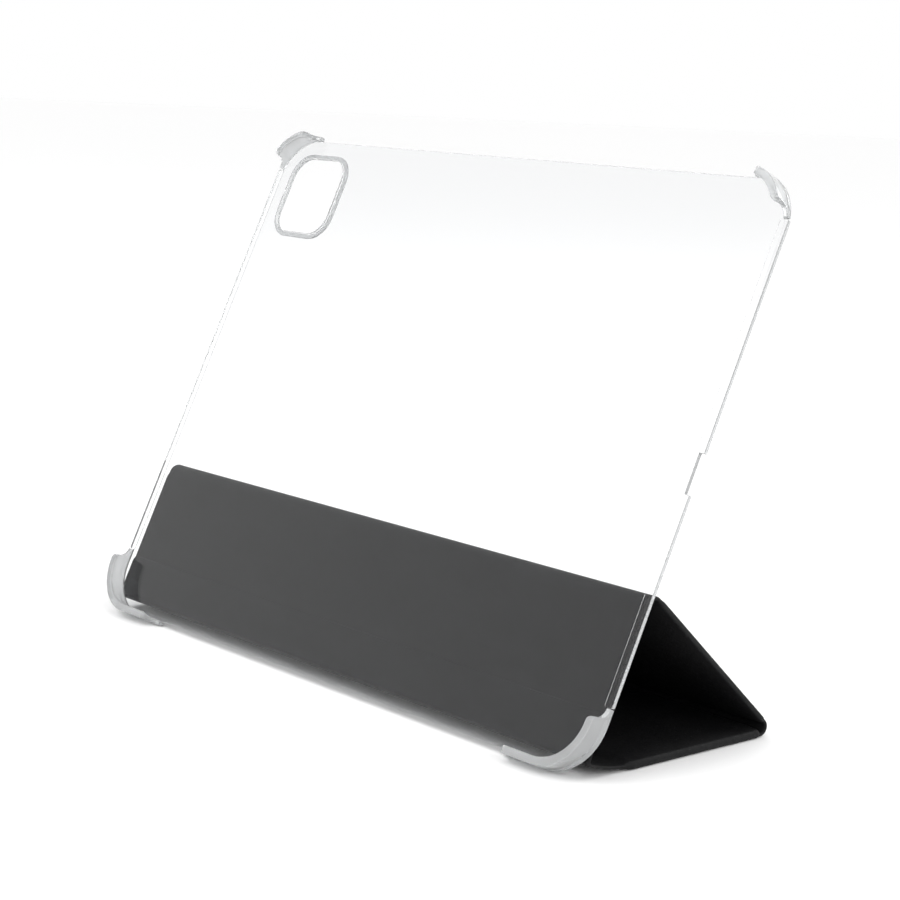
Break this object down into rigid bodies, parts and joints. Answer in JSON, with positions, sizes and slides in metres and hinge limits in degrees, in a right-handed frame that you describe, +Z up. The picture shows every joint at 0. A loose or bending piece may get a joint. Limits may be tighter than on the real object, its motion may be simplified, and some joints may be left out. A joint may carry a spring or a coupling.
{
  "type": "tablet case",
  "caption": "Clear hard shell with soft corner bumpers and a dark folding cover, whose panels fold into a triangular stand behind it.",
  "frame": {"origin": "centre of the standing case's bounding box, at table level", "axes": "+X along the long side, to the right seen from the screen side; +Y to the rear, where the stand is; +Z up"},
  "size_m": [0.2846, 0.1008, 0.202],
  "materials": {
    "clear_hard": "clear, polished",
    "clear_soft": "clear, satin",
    "leather": "fine pebbled grain, satin",
    "lining": "short microfibre nap, matt",
    "board": "matt stiffener board",
    "magnet": "plated"
  },
  "bodies": {
    "shell": {"anchor_strip": "leather", "back_plate": "clear_hard", "bumper_bottom_left": "clear_soft", "bumper_bottom_right": "clear_soft", "bumper_top_left": "clear_soft", "bumper_top_right": "clear_soft", "camera_guard": "clear_soft"},
    "spine_back": {"spine_back_strip": "leather"},
    "spine_edge": {"spine_edge_strip": "leather"},
    "base_panel": {"base_board": "board", "base_lining": "lining", "base_skin": "leather", "base_magnet_1": "magnet", "base_magnet_2": "magnet", "base_magnet_3": "magnet", "base_magnet_4": "magnet"},
    "rear_fold": {"rear_fold_web": "leather"},
    "prop_panel": {"prop_board": "board", "prop_lining": "lining", "prop_skin": "leather", "prop_magnet_1": "magnet"},
    "top_fold": {"top_fold_web": "leather"},
    "rest_panel": {"rest_board": "board", "rest_lining": "lining", "rest_skin": "leather", "rest_magnet_1": "magnet", "rest_magnet_2": "magnet", "rest_magnet_3": "magnet", "rest_magnet_4": "magnet"}
  },
  "joints": [
    {"name": "cover_swing", "type": "hinge", "parent": "shell", "child": "spine_back", "pos_m": [0, -0.0395, 0.00521], "axis": [-1, 0, 0], "range_deg": [0, 95.95]},
    {"name": "spine_bend", "type": "hinge", "parent": "spine_back", "child": "spine_edge", "pos_m": [0, -0.03286, 0.00299], "axis": [-1, 0, 0], "range_deg": [0, 99.15]},
    {"name": "spine_front_bend", "type": "hinge", "parent": "spine_edge", "child": "base_panel", "pos_m": [0, -0.02201, 0.0012], "axis": [-1, 0, 0], "range_deg": [0, 99.37]},
    {"name": "stand_fold", "type": "hinge", "parent": "base_panel", "child": "rear_fold", "pos_m": [0, 0.04878, 0.0012], "axis": [-1, 0, 0], "range_deg": [0, 69.45]},
    {"name": "rear_fold_bend", "type": "hinge", "parent": "rear_fold", "child": "prop_panel", "pos_m": [0, 0.05018, 0.00494], "axis": [-1, 0, 0], "range_deg": [0, 69.46]},
    {"name": "top_fold_bend", "type": "hinge", "parent": "prop_panel", "child": "top_fold", "pos_m": [0, -0.00955, 0.05705], "axis": [-1, 0, 0], "range_deg": [-36.69, 0]},
    {"name": "rest_panel_bend", "type": "hinge", "parent": "top_fold", "child": "rest_panel", "pos_m": [0, -0.01443, 0.05599], "axis": [-1, 0, 0], "range_deg": [-36.69, 0]}
  ],
  "couplings": [
    {"joint": "spine_bend", "follows": "cover_swing", "ratio": 1.0333},
    {"joint": "spine_front_bend", "follows": "cover_swing", "ratio": 1.0355},
    {"joint": "rear_fold_bend", "follows": "stand_fold", "ratio": 1},
    {"joint": "top_fold_bend", "follows": "stand_fold", "ratio": -0.52808},
    {"joint": "rest_panel_bend", "follows": "stand_fold", "ratio": -0.52808}
  ]
}
